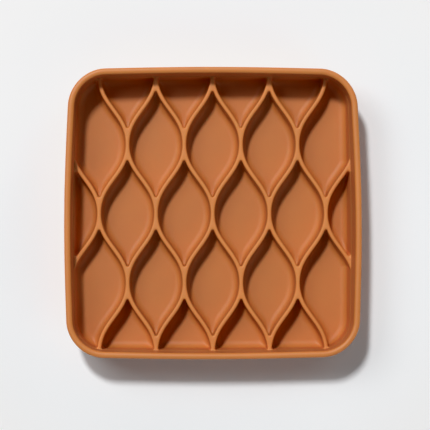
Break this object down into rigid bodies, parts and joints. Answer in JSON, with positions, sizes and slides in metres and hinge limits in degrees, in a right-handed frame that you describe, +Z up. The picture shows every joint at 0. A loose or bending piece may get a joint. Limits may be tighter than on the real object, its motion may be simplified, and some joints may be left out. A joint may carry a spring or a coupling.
{
  "type": "slow feeder bowl",
  "caption": "Square soft silicone pet feeding tray with bowed walls, a lift-out maze insert of wavy ribs forming leaf-shaped cells, and suction feet underneath.",
  "frame": {"origin": "middle of the footprint, on the surface that the suction feet stand on", "axes": "+Z up out of the bowl, +X to the right across the rows of leaf cells, +Y to the rear along the leaves' long axis"},
  "size_m": [0.205, 0.2014, 0.036],
  "materials": {
    "tray_silicone": "matte moulded silicone rubber, terracotta",
    "insert_silicone": "matte moulded silicone rubber, terracotta",
    "foot_silicone": "satin silicone rubber, terracotta"
  },
  "bodies": {
    "tray": {"outer_tray": "tray_silicone", "suction_foot_front_left": "foot_silicone", "suction_foot_front_right": "foot_silicone", "suction_foot_rear_left": "foot_silicone", "suction_foot_rear_right": "foot_silicone"},
    "insert": {"maze_insert": "insert_silicone"}
  },
  "joints": [
    {"name": "insert_lift", "type": "slide", "parent": "tray", "child": "insert", "axis": [0, 0, 1], "range_m": [0, 0.045]}
  ]
}
